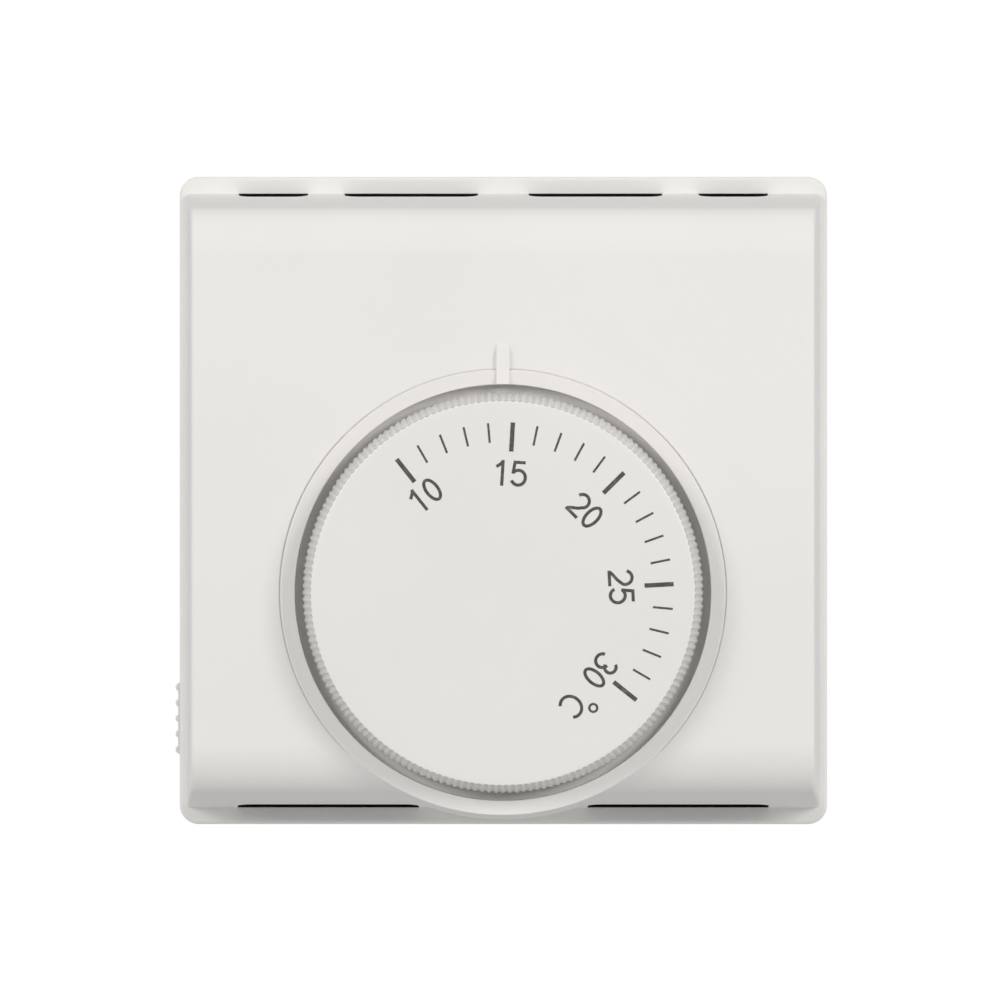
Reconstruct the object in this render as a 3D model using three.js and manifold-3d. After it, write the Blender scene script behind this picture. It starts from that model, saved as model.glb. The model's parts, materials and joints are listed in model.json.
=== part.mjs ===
// Wall room thermostat: a mechanical dial thermostat with a slide switch, in millimetres.
//
// Everything is drawn in a bench frame: X to the right, Y up the wall, Z out of the wall, with the
// origin at the centre of the back face. The last lines turn the bench frame so that +Z is up and
// the front looks along -Y.

import * as THREE from 'three';
import { mergeVertices } from 'three/addons/utils/BufferGeometryUtils.js';
import Module from 'manifold-3d';

const wasm = await Module();
wasm.setup();

// ---- Driving dimensions -----------------------------------------------------------------------

const GAP = 0.3;              // clearance between pieces that touch
const MERGE = 1e-4;

const FLANGE = 83;            // width and height of the cover's flange
const FLANGE_CORNER = 2.45;
const FLANGE_FRONT = 8;       // depth of the flange's front face
const FLANGE_BACK = 0.5;      // the cover stops this far from the wall
const SKIRT_WALL = 1.8;
const BODY_SIDE_FACE = 39.0;  // half width of the body at its face
const BODY_SIDE_FOOT = 40.65; // half width where it meets the flange
const BODY_FOOT = 39.35;      // half height of the body where it meets the flange
const BODY_DRAFT = THREE.MathUtils.degToRad(8.2);
const SHOULDER_RADIUS = 6.5;
const FACE = 31;              // depth of the cover's face
const SHELL = 2;

const DIAL_Y = -11.5;         // height of the dial axis
const RING_OUTER = 27.8;
const RING_FOOT = 29.4;       // the ring's drafted side where it meets the flange
const RING_INNER = 26;
const RING_FRONT = 31.35;
const RING_DISH = 0.35;       // how far the ring's front slopes in towards the dial
const RING_EDGE = 0.3;
const POINTER_INNER = DIAL_Y + RING_INNER + 0.02;
const POINTER_OUTER = 19.7;
const WELL_FLOOR_BACK = 26;
const WELL_FLOOR_FRONT = 28;
const WELL_LEDGE = 28.8;      // depth of the narrow ledge round the well
const WELL_LEDGE_WIDTH = 1.2;
const SPINDLE_HOLE = 4.2;

const VENT_HEIGHT = 4;
const UPPER_VENTS = [[-29.45, 8.9], [-11.8, 17.1], [11.8, 17.1], [29.45, 8.9]];   // centre, width
const LOWER_VENTS = [[-22.4, 23.2], [22.4, 23.2]];

const DIAL_FRONT = 38;
const DIAL_FACE_RADIUS = 23.9;
const DIAL_SKIRT_RADIUS = 25.05;
const DIAL_SHOULDER = 31;     // depth where the grip cone meets the straight skirt
const DIAL_BACK = 29.5;
const DIAL_WALL = 1.5;
const DIAL_TOP_WALL = 1.8;
const HUB_RADIUS = 5;
const HUB_BACK = 30;

const BASE_SIZE = 79.2;
const BASE_THICKNESS = 2.5;
const BASE_CORNER = 1.2;
const ON_BASE = BASE_THICKNESS + GAP;
const CABLE_ENTRY = { x: 24, y: 8, atY: 32 };
const FIXING_SLOT = { width: 4.5, length: 8, atX: 30, atY: 10 };

const SCREW_CIRCLE = 21;      // cover screws, on a diagonal about the dial axis
const COVER_SCREW = { head: 2.1, headHeight: 1.2, shank: 1.1, length: 12 };
const PILLAR_RADIUS = 2.7;

const FRAME = { halfWidth: 24, halfHeight: 7, sheet: 1.2, front: 22.8, foot: 5.8 };
const LEVER = { pivotX: -28, endX: 33.5, back: 9.9, sheet: 1, halfWidth: 3 };
const LEVER_MIDDLE = LEVER.back + LEVER.sheet / 2;
const PIN_RADIUS = 1;
const CAPSULE = { radius: 17.8, back: 12.5, front: 18.2, sheet: 0.6 };
const GUIDE = { back: 18.5, front: 19.3 };
const SPINDLE = { back: 20, front: 34.3, neck: 4, shaft: 3, bore: 2.3, flange: 7 };
const FLANGE_SPAN = [23.1, 24.3];
const CLIP_SPAN = [20.9, 21.3];
const STOP_ANGLES = [-5, 185];     // bent stop tabs, in degrees about the dial axis
const LUG_ANGLE = 45;              // spindle's stop lug at rest: 40 degrees one way, 130 the other

const SWITCH = { x: 31, halfWidth: 5.4, y0: -23, y1: -3, front: 8.6 };
const PLUNGER = { radius: 1.2, back: 6.9, front: 9.6 };

const SLIDE = { y0: -36.2, y1: -19.8, x0: -37, x1: -30.6, front: 7.6 };
const SLIDE_TRAVEL = 3;
const KNOB = { y0: -33.2, y1: -22.8, back: 1.5, front: 5.7 };
const KNOB_RIBS = 5;
const RIB_PITCH = 2;
const RIB_RADIUS = 0.535;

const TERMINALS = 4;
const TERMINAL_PITCH = 8;
const BLOCK = { halfWidth: 17.5, y0: 14, y1: 26, front: 12.5 };

const ROUND = 72;             // facets of a large circle
const MEDIUM_ROUND = 36;
const SMALL_ROUND = 20;

// ---- Materials --------------------------------------------------------------------------------

const plastic = (color, roughness) => new THREE.MeshStandardMaterial({ color, roughness });
const metal = (color, roughness) => new THREE.MeshStandardMaterial({ color, roughness, metalness: 1 });

const whiteCasing = plastic(0xe9e7e4, 0.55);
const whiteDial = plastic(0xe9e7e5, 0.45);
const greyBase = plastic(0x48494b, 0.6);
const darkMoulding = plastic(0x2f3033, 0.5);
const creamMoulding = plastic(0xe4ddc9, 0.55);
const blueLead = plastic(0x2b5fa8, 0.5);
const brownLead = plastic(0x6b3f24, 0.5);
const resistorBody = plastic(0xc7ab7c, 0.5);
const steel = metal(0xb9bcc0, 0.35);
const springSteel = metal(0x8e9297, 0.3);
const brass = metal(0xc9a552, 0.35);
const copper = metal(0xc77f55, 0.3);

// ---- Solids -----------------------------------------------------------------------------------

// A closed geometry as a solid that can be joined and cut.
function solid(geometry) {
  geometry.deleteAttribute('normal');
  geometry.deleteAttribute('uv');
  const merged = mergeVertices(geometry, MERGE);
  const index = merged.index.array;
  const triangles = [];
  for (let i = 0; i < index.length; i += 3) {
    const [a, b, c] = index.slice(i, i + 3);
    if (a !== b && b !== c && c !== a) triangles.push(a, b, c);
  }
  return new wasm.Manifold(new wasm.Mesh({
    numProp: 3,
    vertProperties: merged.attributes.position.array,
    triVerts: Uint32Array.from(triangles),
  }));
}

// A finished solid as a geometry for a mesh.
function shape(body) {
  const mesh = body.getMesh();
  const geometry = new THREE.BufferGeometry();
  geometry.setAttribute('position', new THREE.BufferAttribute(mesh.vertProperties, 3));
  geometry.setIndex(new THREE.BufferAttribute(mesh.triVerts, 1));
  geometry.computeVertexNormals();
  return geometry;
}

function box(x0, x1, y0, y1, z0, z1) {
  const geometry = new THREE.BoxGeometry(x1 - x0, y1 - y0, z1 - z0);
  geometry.translate((x0 + x1) / 2, (y0 + y1) / 2, (z0 + z1) / 2);
  return solid(geometry);
}

// A round bar along Z.
function bar(radius, z0, z1, x = 0, y = 0, facets = SMALL_ROUND) {
  const geometry = new THREE.CylinderGeometry(radius, radius, z1 - z0, facets);
  geometry.rotateX(Math.PI / 2);
  geometry.translate(x, y, (z0 + z1) / 2);
  return solid(geometry);
}

// A round bar along Y.
function crossBar(radius, y0, y1, x, z) {
  const geometry = new THREE.CylinderGeometry(radius, radius, y1 - y0, SMALL_ROUND);
  geometry.translate(x, (y0 + y1) / 2, z);
  return solid(geometry);
}

// A shape turned about Z from a closed profile of [radius, depth] points.
function turned(profile, facets = ROUND) {
  const points = profile.map(([r, z]) => new THREE.Vector2(r, z));
  const geometry = new THREE.LatheGeometry(points, facets);
  geometry.rotateX(Math.PI / 2);
  const body = solid(geometry);
  return body.volume() < 0 ? solid(flipped(geometry)) : body;
}

function flipped(geometry) {
  const index = geometry.index.array;
  for (let i = 0; i < index.length; i += 3) {
    [index[i + 1], index[i + 2]] = [index[i + 2], index[i + 1]];
  }
  return geometry;
}

// A flat plate with rounded corners, centred on the origin.
function plate(width, height, corner, z0, z1) {
  const outline = new THREE.Shape();
  const x = width / 2 - corner;
  const y = height / 2 - corner;
  outline.absarc(x, y, corner, 0, Math.PI / 2);
  outline.absarc(-x, y, corner, Math.PI / 2, Math.PI);
  outline.absarc(-x, -y, corner, Math.PI, Math.PI * 1.5);
  outline.absarc(x, -y, corner, Math.PI * 1.5, Math.PI * 2);
  const settings = { depth: z1 - z0, bevelEnabled: false, curveSegments: 6 };
  const geometry = new THREE.ExtrudeGeometry(outline, settings);
  geometry.translate(0, 0, z0);
  return solid(geometry);
}

// A section drawn in the Y-Z plane, extruded along X from x0 to x1.
function extrudedAcross(section, x0, x1, curveSegments = 12) {
  const settings = { depth: x1 - x0, bevelEnabled: false, curveSegments };
  const geometry = new THREE.ExtrudeGeometry(section, settings);
  const toYZ = new THREE.Matrix4().makeBasis(
    new THREE.Vector3(0, 1, 0),
    new THREE.Vector3(0, 0, 1),
    new THREE.Vector3(1, 0, 0),
  );
  geometry.applyMatrix4(toYZ);
  geometry.translate(x0, 0, 0);
  return solid(geometry);
}

// A wire along a smooth curve through hand-chosen points.
function wire(points, radius, steps) {
  const section = new THREE.Shape();
  const sides = 8;
  for (let i = 0; i < sides; i += 1) {
    const angle = (i / sides) * Math.PI * 2;
    const to = i === 0 ? 'moveTo' : 'lineTo';
    section[to](radius * Math.cos(angle), radius * Math.sin(angle));
  }
  const extrudePath = new THREE.CatmullRomCurve3(points.map((p) => new THREE.Vector3(...p)));
  const geometry = new THREE.ExtrudeGeometry(section, { steps, bevelEnabled: false, extrudePath });
  return solid(geometry);
}

function joined(...bodies) {
  return bodies.reduce((sum, body) => sum.add(body));
}

function cut(body, ...tools) {
  return tools.reduce((rest, tool) => rest.subtract(tool), body);
}

// ---- Scene ------------------------------------------------------------------------------------

const bench = new THREE.Group();
bench.rotation.x = Math.PI / 2;
const dialAxis = new THREE.Group();
dialAxis.position.y = DIAL_Y;
bench.add(dialAxis);

function place(parent, name, body, material, x = 0, y = 0, z = 0) {
  const mesh = new THREE.Mesh(shape(body), material);
  mesh.name = name;
  mesh.position.set(x, y, z);
  parent.add(mesh);
}

// ---- Cover ------------------------------------------------------------------------------------

// The body's Y-Z section, moved inwards by inset and running down to depth bottom.
function bodySection(inset, bottom) {
  const sine = Math.sin(BODY_DRAFT);
  const cosine = Math.cos(BODY_DRAFT);
  const centreZ = FACE - SHOULDER_RADIUS;
  const rise = (centreZ - FLANGE_FRONT) * sine;
  const centreY = BODY_FOOT - (SHOULDER_RADIUS + rise) / cosine;
  const radius = SHOULDER_RADIUS - inset;
  const wallY = BODY_FOOT - inset / cosine;
  const footY = wallY + (FLANGE_FRONT - bottom) * Math.tan(BODY_DRAFT);
  const section = new THREE.Shape();
  section.moveTo(-footY, bottom);
  section.lineTo(footY, bottom);
  section.absarc(centreY, centreZ, radius, BODY_DRAFT, Math.PI / 2);
  section.absarc(-centreY, centreZ, radius, Math.PI / 2, Math.PI - BODY_DRAFT);
  return section;
}

// The body, or the room inside it, with drafted sides.
function bodyBlock(inset, bottom) {
  const half = BODY_SIDE_FACE - inset;
  const slope = (BODY_SIDE_FOOT - BODY_SIDE_FACE) / (FACE - FLANGE_FRONT);
  return extrudedAcross(bodySection(inset, bottom), -half, half).warp((point) => {
    point[0] *= 1 + (slope * (FACE - point[2])) / half;
  });
}

function coverScrewPlaces() {
  const reach = SCREW_CIRCLE / Math.SQRT2;
  return [[reach, reach], [-reach, -reach]];
}

// A vent slot at the foot of the body, with rounded front corners, which also opens back through
// the flange inside the body's foot.
function vent(x, width, side) {
  const corner = 2;
  const low = FLANGE_FRONT;
  const high = FLANGE_FRONT + VENT_HEIGHT;
  const y0 = Math.min(side * 36, side * 41);
  const y1 = Math.max(side * 36, side * 41);
  const half = width / 2;
  const slot = box(x - half, x + half, y0, y1, low, high - corner);
  const lintel = box(x - half + corner, x + half - corner, y0, y1, low, high);
  const left = crossBar(corner, y0, y1, x - half + corner, high - corner);
  const right = crossBar(corner, y0, y1, x + half - corner, high - corner);
  const foot = [side * 36, side * BODY_FOOT].sort((a, b) => a - b);
  const back = box(x - half, x + half, ...foot, low - SKIRT_WALL - 1, low + 0.1);
  return joined(slot, lintel, left, right, back);
}

function pointer() {
  const back = FACE - 0.5;
  const front = 31.75;
  const section = new THREE.Shape();
  section.moveTo(POINTER_INNER, back);
  section.lineTo(POINTER_OUTER, back);
  section.lineTo(POINTER_OUTER, FACE + 0.1);
  section.lineTo(POINTER_OUTER - 1.2, front);
  section.lineTo(POINTER_INNER, front);
  return extrudedAcross(section, -0.825, 0.825);
}

function frontCover() {
  const underFlange = FLANGE_FRONT - SKIRT_WALL;
  const innerFlange = FLANGE - 2 * SKIRT_WALL;
  const body = bodyBlock(0, underFlange);
  const skirt = plate(FLANGE, FLANGE, FLANGE_CORNER, FLANGE_BACK, FLANGE_FRONT);
  const ring = turned([
    [0, underFlange],
    [RING_FOOT, underFlange],
    [RING_FOOT, FLANGE_FRONT],
    [RING_OUTER, RING_FRONT - RING_EDGE],
    [RING_OUTER - RING_EDGE, RING_FRONT],
    [RING_INNER, RING_FRONT - RING_DISH],
    [0, RING_FRONT - RING_DISH],
  ]).translate([0, DIAL_Y, 0]);
  const outside = joined(body, skirt, ring);

  const roomInBody = bodyBlock(SHELL, underFlange - 1);
  const roomInSkirt = plate(innerFlange, innerFlange, FLANGE_CORNER - SKIRT_WALL, -1, underFlange);
  const roomInRing = bar(RING_INNER, underFlange - 1, WELL_FLOOR_BACK, 0, DIAL_Y, ROUND);
  const hollow = cut(outside, roomInBody, roomInSkirt, roomInRing);

  const wellCup = bar(RING_OUTER - 0.8, WELL_FLOOR_BACK, FACE - 0.5, 0, DIAL_Y, ROUND);
  const well = turned([
    [0, WELL_FLOOR_FRONT],
    [RING_INNER - WELL_LEDGE_WIDTH, WELL_FLOOR_FRONT],
    [RING_INNER - WELL_LEDGE_WIDTH, WELL_LEDGE],
    [RING_INNER, WELL_LEDGE],
    [RING_INNER, DIAL_FRONT],
    [0, DIAL_FRONT],
  ]).translate([0, DIAL_Y, 0]);
  const spindleHole = bar(SPINDLE_HOLE, 0, DIAL_FRONT, 0, DIAL_Y);
  const screwHoles = coverScrewPlaces().map(([x, y]) => (
    bar(COVER_SCREW.shank + GAP, WELL_FLOOR_BACK - 1, DIAL_FRONT, x, DIAL_Y + y)));
  const vents = [
    ...UPPER_VENTS.map(([x, width]) => vent(x, width, 1)),
    ...LOWER_VENTS.map(([x, width]) => vent(x, width, -1)),
  ];
  const notchLow = KNOB.y0 - SLIDE_TRAVEL - 0.4;
  const notch = box(-42, -39, notchLow, KNOB.y1 + 0.4, -1, KNOB.front + 0.35);
  const shell = cut(joined(hollow, wellCup), well, spindleHole, ...screwHoles, ...vents, notch);
  return joined(shell, pointer());
}

// ---- Base -------------------------------------------------------------------------------------

function basePlate() {
  const floor = plate(BASE_SIZE, BASE_SIZE, BASE_CORNER, 0, BASE_THICKNESS);
  const rimWall = 1.2;
  const entryX = CABLE_ENTRY.x / 2;
  const entryY0 = CABLE_ENTRY.atY - CABLE_ENTRY.y / 2;
  const entryY1 = CABLE_ENTRY.atY + CABLE_ENTRY.y / 2;
  const rim = box(-entryX - rimWall, entryX + rimWall, entryY0 - rimWall, entryY1 + rimWall, 1, 4.5);
  const entry = box(-entryX, entryX, entryY0, entryY1, -1, 6);

  const { width, length, atX, atY } = FIXING_SLOT;
  const reach = (length - width) / 2;
  const slotAcross = joined(
    box(-atX - reach, -atX + reach, atY - width / 2, atY + width / 2, -1, 4),
    bar(width / 2, -1, 4, -atX - reach, atY),
    bar(width / 2, -1, 4, -atX + reach, atY),
  );
  const slotUp = joined(
    box(atX - width / 2, atX + width / 2, atY - reach, atY + reach, -1, 4),
    bar(width / 2, -1, 4, atX, atY - reach),
    bar(width / 2, -1, 4, atX, atY + reach),
  );

  const pillarTop = WELL_FLOOR_BACK - GAP;
  const pillars = [];
  const bores = [];
  for (const [x, y] of coverScrewPlaces()) {
    pillars.push(bar(PILLAR_RADIUS, 1, pillarTop, x, DIAL_Y + y));
    bores.push(bar(COVER_SCREW.shank + GAP, pillarTop - COVER_SCREW.length, 40, x, DIAL_Y + y));
  }
  const pegs = [
    bar(1, 1, SWITCH.front + 0.3, SWITCH.x, SWITCH.y0 + 2.5),
    bar(1, 1, SWITCH.front + 0.3, SWITCH.x, SWITCH.y1 - 2.5),
    bar(0.9, 1, 5, SLIDE.x0 + 3, SLIDE.y0 - 1.2),
  ];
  const screwX = FRAME.halfWidth - FRAME.sheet - FRAME.foot / 2;
  const screwPlaces = [-screwX, screwX, LEVER.pivotX];
  const pilotHoles = screwPlaces.map((x) => bar(1.4, 0.8, 4, x, DIAL_Y));
  return cut(joined(floor, rim, ...pillars, ...pegs), entry, slotAcross, slotUp, ...bores, ...pilotHoles);
}

// A slotted screw standing along Z, with the underside of its head at depth zero.
function screw(head, headHeight, shank, length) {
  const blank = turned([
    [0, -length],
    [shank * 0.6, -length],
    [shank, -length + 0.8],
    [shank, 0],
    [head, 0],
    [head, headHeight * 0.6],
    [head * 0.8, headHeight],
    [0, headHeight],
  ], SMALL_ROUND);
  return cut(blank, box(-head - 1, head + 1, -0.3, 0.3, headHeight * 0.45, headHeight + 1));
}

// ---- Mechanism --------------------------------------------------------------------------------

// A bent stop tab on the frame, standing along Z at an angle about the dial axis.
function radialBlock(angle, r0, r1, thickness, z0, z1) {
  return box(r0, r1, -thickness / 2, thickness / 2, z0, z1).rotate([0, 0, angle]);
}

function mechanismFrame() {
  const { halfWidth, halfHeight, sheet, front, foot } = FRAME;
  const inner = halfWidth - sheet;
  const bridge = box(-halfWidth, halfWidth, -halfHeight, halfHeight, front - sheet, front);
  const parts = [bridge];
  for (const side of [-1, 1]) {
    const legX = [side * inner, side * halfWidth].sort((a, b) => a - b);
    const footX = [side * (inner - foot), side * halfWidth].sort((a, b) => a - b);
    parts.push(box(...legX, -halfHeight, halfHeight, ON_BASE, front));
    parts.push(box(...footX, -halfHeight, halfHeight, ON_BASE, ON_BASE + sheet));
  }
  const tabs = STOP_ANGLES.map((angle) => radialBlock(angle, 8, 9.8, 1.2, front - 0.5, 24.6));
  const screwX = inner - foot / 2;
  return cut(
    joined(...parts, ...tabs),
    bar(SPINDLE.neck + GAP, 15, 30),
    box(-30, 30, -4, 4, LEVER.back - 1.4, LEVER.back + LEVER.sheet + 1.4),
    box(-30, 30, -2.5, 2.5, GUIDE.back - 0.9, GUIDE.front + 1.3),
    bar(1.4, 0, 6, -screwX),
    bar(1.4, 0, 6, screwX),
  );
}

function fulcrumBracket() {
  const ear = (y0) => joined(
    box(-2.2, 2.2, y0, y0 + 1, ON_BASE, LEVER_MIDDLE),
    crossBar(2.2, y0, y0 + 1, 0, LEVER_MIDDLE),
  );
  const foot = box(-3, 2.4, -5.7, 5.7, ON_BASE, ON_BASE + FRAME.sheet);
  const pinHoles = crossBar(PIN_RADIUS + GAP, -7, 7, 0, LEVER_MIDDLE);
  return cut(joined(foot, ear(-5.7), ear(4.7)), pinHoles, bar(1.4, 0, 6));
}

function actuatingLever() {
  const { pivotX, endX, back, sheet, halfWidth } = LEVER;
  const strip = box(1.5, endX - pivotX, -halfWidth, halfWidth, back, back + sheet);
  const eye = crossBar(2, -halfWidth, halfWidth, 0, LEVER_MIDDLE);
  return cut(joined(strip, eye), crossBar(PIN_RADIUS + GAP, -9, 9, 0, LEVER_MIDDLE));
}

function leverSpring() {
  const radius = 2.2;
  const wireRadius = 0.3;
  const turns = 4;
  const low = ON_BASE + wireRadius;
  const high = LEVER.back - GAP - wireRadius;
  const points = [];
  const count = turns * 8;
  for (let i = 0; i <= count; i += 1) {
    const angle = (i / 8) * Math.PI * 2;
    points.push([radius * Math.cos(angle), radius * Math.sin(angle), low + ((high - low) * i) / count]);
  }
  return wire(points, wireRadius, 44);
}

// Half of the pressure capsule: a corrugated dish of thin sheet with a flat rim. It is drawn with
// its crown at depth zero and its rim at depth, and sign turns it to face either way.
function capsuleShell(crown, sign) {
  const { radius, sheet } = CAPSULE;
  const rim = (CAPSULE.front - CAPSULE.back) / 2 - GAP / 2 - sheet;
  const ridge = 0.45;
  const steps = [
    [0, 0], [4.5, 0], [6, ridge], [8, 0], [10.5, 0], [12, ridge], [14, 0.2], [15.6, rim], [radius, rim],
  ];
  const near = steps.map(([r, z]) => [r, crown + sign * z]);
  const far = steps.map(([r, z]) => [r, crown + sign * (z + sheet)]).reverse();
  return turned([...near, ...far], MEDIUM_ROUND);
}

function guidePlate() {
  const { back, front } = GUIDE;
  const inner = FRAME.halfWidth - FRAME.sheet - GAP;
  const middle = box(-inner, inner, -5, 5, back, front);
  const tongues = box(-inner - 2.4, inner + 2.4, -2, 2, back, front);
  return cut(joined(middle, tongues), bar(1.8, 0, 30));
}

function adjustingScrew() {
  return turned([
    [0, GUIDE.back],
    [1.5, GUIDE.back],
    [1.5, GUIDE.front + 0.3],
    [2, GUIDE.front + 0.3],
    [2, 29.5],
    [0, 29.5],
  ], SMALL_ROUND);
}

function adjustingSpindle() {
  const { back, front, neck, shaft, bore, flange } = SPINDLE;
  const body = turned([
    [bore, back],
    [neck, back],
    [neck, CLIP_SPAN[0] - GAP],
    [neck - 0.8, CLIP_SPAN[0] - GAP],
    [neck - 0.8, CLIP_SPAN[1] + GAP],
    [neck, CLIP_SPAN[1] + GAP],
    [neck, FLANGE_SPAN[0]],
    [flange, FLANGE_SPAN[0]],
    [flange, FLANGE_SPAN[1]],
    [shaft, FLANGE_SPAN[1]],
    [shaft, front],
    [1.4, front],
    [1.4, 30.5],
    [bore, 30.5],
    [bore, back],
  ], MEDIUM_ROUND);
  const lug = radialBlock(LUG_ANGLE, flange - 1, 9.6, 1.5, ...FLANGE_SPAN);
  return cut(joined(body, lug), box(2.2, 5, -5, 5, 30.8, front + 1));
}

// An open spring ring lying flat, with its mouth to one side.
function openRing(inner, outer, z0, z1, mouth) {
  const ring = cut(bar(outer, z0, z1, 0, 0, MEDIUM_ROUND), bar(inner, z0 - 1, z1 + 1, 0, 0, MEDIUM_ROUND));
  return cut(ring, box(0, outer + 1, -mouth / 2, mouth / 2, z0 - 1, z1 + 1));
}

// ---- Dial -------------------------------------------------------------------------------------

function dialKnob() {
  const roof = DIAL_FRONT - DIAL_TOP_WALL;
  const slope = (DIAL_SKIRT_RADIUS - DIAL_FACE_RADIUS) / (DIAL_FRONT - DIAL_SHOULDER);
  const roofRadius = DIAL_FACE_RADIUS + slope * DIAL_TOP_WALL - DIAL_WALL;
  const cap = turned([
    [0, roof],
    [roofRadius, roof],
    [DIAL_SKIRT_RADIUS - DIAL_WALL, DIAL_SHOULDER],
    [DIAL_SKIRT_RADIUS - DIAL_WALL, DIAL_BACK],
    [DIAL_SKIRT_RADIUS, DIAL_BACK],
    [DIAL_SKIRT_RADIUS, DIAL_SHOULDER],
    [DIAL_FACE_RADIUS, DIAL_FRONT - 0.4],
    [DIAL_FACE_RADIUS - 0.5, DIAL_FRONT],
    [0, DIAL_FRONT],
  ]);
  const hub = bar(HUB_RADIUS, HUB_BACK, roof + 0.3, 0, 0, MEDIUM_ROUND);
  const ribs = [];
  for (let i = 0; i < 6; i += 1) {
    ribs.push(radialBlock(30 + i * 60, HUB_RADIUS - 0.5, roofRadius + 0.8, 1, 33.5, roof + 0.3));
  }
  const roundBore = bar(SPINDLE.shaft + GAP, HUB_BACK - 1, SPINDLE.front + GAP);
  const flat = box(2.5, 5, -5, 5, 31.1, SPINDLE.front + 1);
  return cut(joined(cap, hub, ...ribs), cut(roundBore, flat));
}

// ---- Switches, terminals and wiring -------------------------------------------------------------

function snapSwitchHousing() {
  const { halfWidth, y0, y1, front } = SWITCH;
  return cut(
    box(-halfWidth, halfWidth, y0, y1, ON_BASE, front),
    bar(PLUNGER.radius + GAP, PLUNGER.back - 0.4, 12, 0, DIAL_Y),
    bar(1.3, 0, 12, 0, y0 + 2.5),
    bar(1.3, 0, 12, 0, y1 - 2.5),
  );
}

function slideSwitchHousing() {
  const { x0, x1, y0, y1, front } = SLIDE;
  const stemLow = (KNOB.y0 + KNOB.y1) / 2 - 1 - SLIDE_TRAVEL - 0.4;
  const stemHigh = (KNOB.y0 + KNOB.y1) / 2 + 1 + 0.4;
  const ear = box(x0 + 1, x0 + 5, y0 - 2.4, y0 + 1, ON_BASE, ON_BASE + 1.6);
  return cut(
    joined(box(x0, x1, y0, y1, ON_BASE, front), ear),
    box(x0 + 1.2, x1 - 1.2, y0 + 1.2, y1 - 1.2, 3.9, front - 1.1),
    box(x0 - 1, x0 + 2, stemLow, stemHigh, 3.9, 6.3),
    bar(1.2, 0, 12, x0 + 3, y0 - 1.2),
  );
}

function slideKnob() {
  const { y0, y1, back, front } = KNOB;
  const middle = (y0 + y1) / 2;
  const grip = box(-41.4, -39.6, y0, y1, back, front);
  const shoulder = box(-39.65, -38.4, y0 - 1.2, y1 + 1.2, ON_BASE, front);
  const stem = box(-38.5, -34.5, middle - 1, middle + 1, 4.2, front - 0.1);
  const ribs = [];
  for (let i = 0; i < KNOB_RIBS; i += 1) {
    const y = middle + (i - (KNOB_RIBS - 1) / 2) * RIB_PITCH;
    ribs.push(bar(RIB_RADIUS, back, front, -41.6, y, 16));
  }
  return joined(grip, shoulder, stem, ...ribs);
}

function slideContact() {
  const middle = (KNOB.y0 + KNOB.y1) / 2;
  const strip = box(-34.2, -33.7, middle - 3.4, middle + 3.4, 4.2, 6.1);
  const points = [-2.8, 2.8].map((y) => box(-33.8, -33.3, middle + y - 0.6, middle + y + 0.6, 4.6, 5.7));
  return joined(strip, ...points);
}

function terminalX(i) {
  return (i - (TERMINALS - 1) / 2) * TERMINAL_PITCH;
}

function terminalBlock() {
  const { halfWidth, y0, y1, front } = BLOCK;
  const pockets = [];
  for (let i = 0; i < TERMINALS; i += 1) {
    const x = terminalX(i);
    pockets.push(box(x - 2.9, x + 2.9, y0 + 2, y1 - 1.5, ON_BASE + 1.4, front + 1));
    pockets.push(crossBar(1.9, y1 - 3, y1 + 1, x, 6.6));
  }
  return cut(box(-halfWidth, halfWidth, y0, y1, ON_BASE, front), ...pockets);
}

function terminalClamp() {
  return cut(
    box(-2.6, 2.6, -3.9, 3.9, 4.5, 9.6),
    crossBar(1.6, -5, 5, 0, 6.6),
    bar(1.5, 6.6, 11),
  );
}

// A film resistor lying along X, with its two tails bent up towards the terminals.
function acceleratorResistor() {
  const body = turned([
    [0, -4], [1.4, -4], [1.7, -3.6], [1.7, -2.4], [1.45, -2], [1.45, 2], [1.7, 2.4], [1.7, 3.6],
    [1.4, 4], [0, 4],
  ], SMALL_ROUND).rotate([0, 90, 0]);
  const tail = (side) => wire([
    [side * 3.5, 0, 0], [side * 5, 0.2, 0], [side * 5.8, 1.4, -0.3], [side * 5.9, 3.9, -0.8],
  ], 0.35, 8);
  return joined(body, tail(-1), tail(1));
}

const SUPPLY_ROUTE = [
  [-12, 13.4, 6], [-13.2, 9.5, 6.4], [-18.4, 3.5, 7], [-20, -4, 7.2], [-20, -14, 7.2],
  [-20.6, -21, 6.4], [-23.6, -24, 5], [-26.8, -24, 4.5],
];
const LINK_ROUTE = [
  [-26.8, -32, 4.5], [-22, -32.6, 4.5], [-10, -34, 4.5], [6, -34.4, 4.5], [20, -32.8, 4.5],
  [26.4, -30, 4.8], [28.3, -27, 5.2],
];
const LOAD_ROUTE = [
  [28.3, 1, 5.2], [26.6, 3.8, 5.4], [22.5, 8.2, 6], [16, 10.6, 6.2], [12.8, 11.4, 6.2], [12, 13.4, 6.2],
];

// ---- Assembly ---------------------------------------------------------------------------------

place(bench, 'base_plate', basePlate(), greyBase);
place(bench, 'front_cover', frontCover(), whiteCasing);

const [upperScrew, lowerScrew] = coverScrewPlaces();
const coverScrew = screw(...['head', 'headHeight', 'shank', 'length'].map((key) => COVER_SCREW[key]));
const coverScrewZ = WELL_FLOOR_FRONT + 0.05;
place(dialAxis, 'cover_screw_upper', coverScrew, steel, ...upperScrew, coverScrewZ);
place(dialAxis, 'cover_screw_lower', coverScrew, steel, ...lowerScrew, coverScrewZ);

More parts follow.
